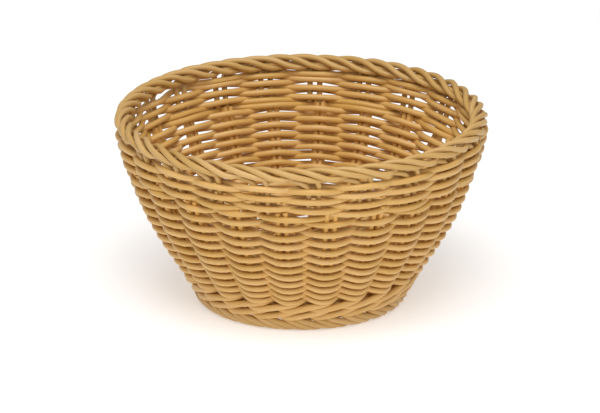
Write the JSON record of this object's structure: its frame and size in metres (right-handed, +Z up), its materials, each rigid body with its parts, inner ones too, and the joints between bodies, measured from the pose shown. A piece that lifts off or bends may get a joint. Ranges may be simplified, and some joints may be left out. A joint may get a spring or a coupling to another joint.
{
  "type": "bread basket",
  "caption": "Round open bread basket woven from honey-coloured plastic cane, with a flared ribbed wall, a rolled border at the rim and a braided foot.",
  "frame": {"origin": "centre of the foot, on the surface the basket stands on", "axes": "+Z up along the basket's axis; the front of the basket, as pictured, faces -Y; +X to its right"},
  "size_m": [0.2046, 0.2041, 0.108],
  "materials": {
    "weaver_cane": "satin plastic cane with faint lengthwise streaks",
    "stake_cane": "satin plastic cane with faint lengthwise streaks",
    "border_cane": "satin plastic cane with faint lengthwise streaks",
    "base_cane": "satin plastic cane with faint lengthwise streaks"
  },
  "bodies": {
    "root": {"base_cross_lower": "base_cane", "base_cross_upper": "base_cane", "base_weave": "base_cane", "foot_border": "border_cane", "lower_weave_1": "weaver_cane", "lower_weave_2": "weaver_cane", "lower_weave_3": "weaver_cane", "rim_border": "border_cane", "rim_stake_01": "stake_cane", "rim_stake_02": "stake_cane", "rim_stake_03": "stake_cane", "rim_stake_04": "stake_cane", "rim_stake_05": "stake_cane", "rim_stake_06": "stake_cane", "rim_stake_07": "stake_cane", "rim_stake_08": "stake_cane", "rim_stake_09": "stake_cane", "rim_stake_10": "stake_cane", "rim_stake_11": "stake_cane", "rim_stake_12": "stake_cane", "rim_stake_13": "stake_cane", "rim_stake_14": "stake_cane", "rim_stake_15": "stake_cane", "rim_stake_16": "stake_cane", "rim_stake_17": "stake_cane", "rim_stake_18": "stake_cane", "rim_stake_19": "stake_cane", "rim_stake_20": "stake_cane", "rim_stake_21": "stake_cane", "rim_stake_22": "stake_cane", "stake_01": "stake_cane", "stake_02": "stake_cane", "stake_03": "stake_cane", "stake_04": "stake_cane", "stake_05": "stake_cane", "stake_06": "stake_cane", "stake_07": "stake_cane", "stake_08": "stake_cane", "stake_09": "stake_cane", "stake_10": "stake_cane", "stake_11": "stake_cane", "stake_12": "stake_cane", "stake_13": "stake_cane", "stake_14": "stake_cane", "stake_15": "stake_cane", "stake_16": "stake_cane", "stake_17": "stake_cane", "stake_18": "stake_cane", "stake_19": "stake_cane", "stake_20": "stake_cane", "stake_21": "stake_cane", "stake_22": "stake_cane", "upper_row_1": "weaver_cane", "upper_row_2": "weaver_cane", "upper_row_3": "weaver_cane", "wale_band": "weaver_cane"}
  },
  "joints": []
}
